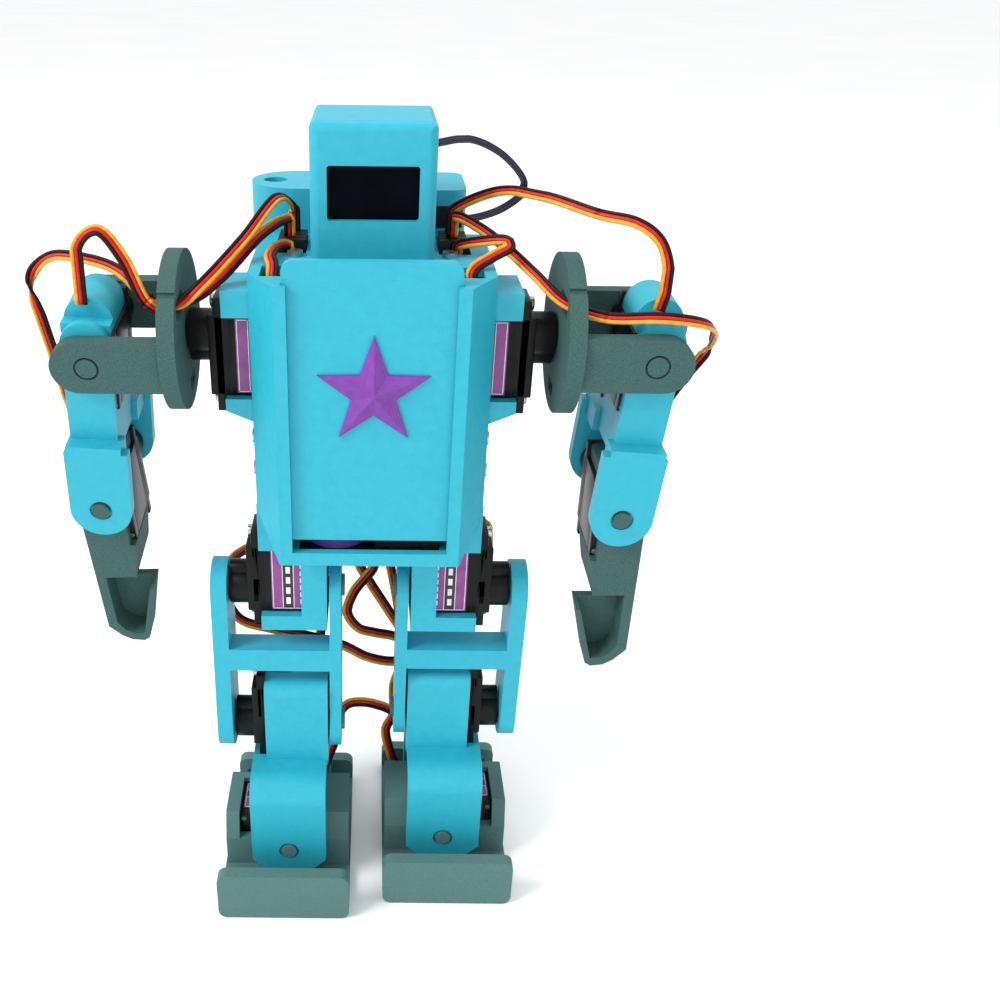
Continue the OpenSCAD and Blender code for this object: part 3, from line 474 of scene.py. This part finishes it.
def servo_screws(bm):
    for x in EAR_SCREWS_X:
        rod(bm, x, 0, EARS_Z[1] + 0.03, EARS_Z[1] + 1.4, 1.85, 0.5)
    for x in CASE_SCREWS_X:
        for y in CASE_SCREWS_Y:
            rod(bm, x, y, -0.06, 0.4, 0.85, segments=16)


def servo_spline(bm):
    rod(bm, 0, 0, *SPLINE_Z, SPLINE_R, 0.2)


def servo(name, node, place, body, labelled=True):
    shown = shaped(name + "_case", servo_case, place, case, body)
    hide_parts(node)
    if labelled:
        shaped(name + "_label", servo_band, place, label, body)
        shaped(name + "_label_strip", servo_strip, place, label_black, body)
        shaped(name + "_label_lines", servo_print, place, label_line, body)
    shaped(name + "_screws", servo_screws, place, steel, body)
    shaped(name + "_spline", servo_spline, place, brass, body)


def limb_servo(word, joint, place, part, labelled=True):
    servo(f"{word}_{joint}_servo_look", f"{word}_{joint}_servo", place, f"{word}_{part}", labelled)


SHAFT_OUT = turn(90, "Y")
SHAFT_OUT_TURNED = turn(180, "X") @ turn(90, "Y")
SHAFT_BACK = turn(90, "Y") @ turn(-90, "X")
for word, s in (("left", 1), ("right", -1)):
    pitch, roll, bend = REST_ARMS[word]
    leg_y = SHAFT_Y + s * STEP
    roll_frame = (side(s) @ move(0, SHAFT_Y, SHOULDER_Z) @ turn(pitch, "X")
                  @ move(ROLL_X, 0, ROLL_Z) @ turn(-roll, "Y"))
    elbow_frame = roll_frame @ move(0, 0, -UPPER_ARM) @ turn(-bend, "Y")
    servo(word + "_shoulder_servo", "shoulder_servos",
          side(s) @ move(SHOULDER_SERVO_X, SHAFT_Y, SHOULDER_Z) @ SHAFT_OUT, "torso")
    servo(word + "_hip_servo", "hip_servos",
          side(s) @ move(LEG_SERVO_X, SHAFT_Y, HIP_Z) @ SHAFT_OUT_TURNED, "torso")
    limb_servo(word, "roll", roll_frame @ move(0, SERVO_BACK, 0) @ SHAFT_BACK, "upper_arm",
               labelled=False)
    limb_servo(word, "elbow", elbow_frame @ move(0, SERVO_BACK, 0) @ SHAFT_BACK, "forearm",
               labelled=False)
    limb_servo(word, "knee", side(s) @ move(0, leg_y, KNEE_Z) @ move(LEG_SERVO_X, 0, 0)
               @ SHAFT_OUT_TURNED, "shin")
    limb_servo(word, "ankle", side(s) @ move(ANKLE_X, leg_y, ANKLE_Z) @ move(0, SERVO_BACK, 0)
               @ turn(-90, "X"), "foot")


# ---- Materials and soft edges of the CAD pieces ----
EDGE_RADIUS = 0.0006
EDGE_ANGLE = 40

paints = {"blue": blue, "grey": grey, "purple": cell, "case": case, "black": black, "display": glass,
          "board": board, "steel": steel, "wire": wire_brown}
slots = {p["node"]: p["material_slot"] for p in frame["record"]["subparts"]}
for name, ob in nodes.items():
    ob.data.materials.clear()
    paint = paints[slots[name]]
    if name == "star_badge":
        paint = star
    # The forearms, brackets and arm pins get the darker copy of the grey print: painted shade.
    elif name.endswith(("forearm", "bracket", "shoulder_pin", "elbow_pin")):
        paint = grey_with_painted_shade
    ob.data.materials.append(paint)
    if slots[name] in ("blue", "grey") and not name.endswith(("pin", "pins")):
        soft = ob.modifiers.new("soft_edges", "BEVEL")
        soft.width = EDGE_RADIUS
        soft.segments = 2
        soft.limit_method = "ANGLE"
        soft.angle_limit = math.radians(EDGE_ANGLE)
        soft.use_clamp_overlap = True


# ---- Studio ----
def area_light(name, place, target, size, power, colour=(1, 1, 1)):
    lamp = bpy.data.objects.new(name, bpy.data.lights.new(name, "AREA"))
    lamp.data.shape = "DISK"
    lamp.data.size = size
    lamp.data.energy = power
    lamp.data.color = colour
    lamp.location = place
    lamp.rotation_euler = (Vector(target) - Vector(place)).to_track_quat("-Z", "Y").to_euler()
    scene.collection.objects.link(lamp)


bpy.ops.mesh.primitive_plane_add(size=12, location=(0, 0, 0))
floor = bpy.context.object
floor.name = "floor"
floor.data.materials.append(floor_paint)
world = scene.world or bpy.data.worlds.new("world")
scene.world = world
world.use_nodes = True
backdrop = world.node_tree.nodes["Background"]
backdrop.inputs["Color"].default_value = (1, 1, 1, 1)
backdrop.inputs["Strength"].default_value = 1.0
area_light("key", (-1.0, -0.55, 1.1), (0, 0, 0.12), size=0.6, power=16, colour=(1, 0.985, 0.96))
area_light("fill", (0.25, -1.1, 0.35), (0, 0, 0.15), size=0.9, power=1.6)
area_light("top", (0.1, 0.4, 1.4), (0, 0, 0.12), size=0.8, power=4)
scene.view_settings.view_transform = "Standard"
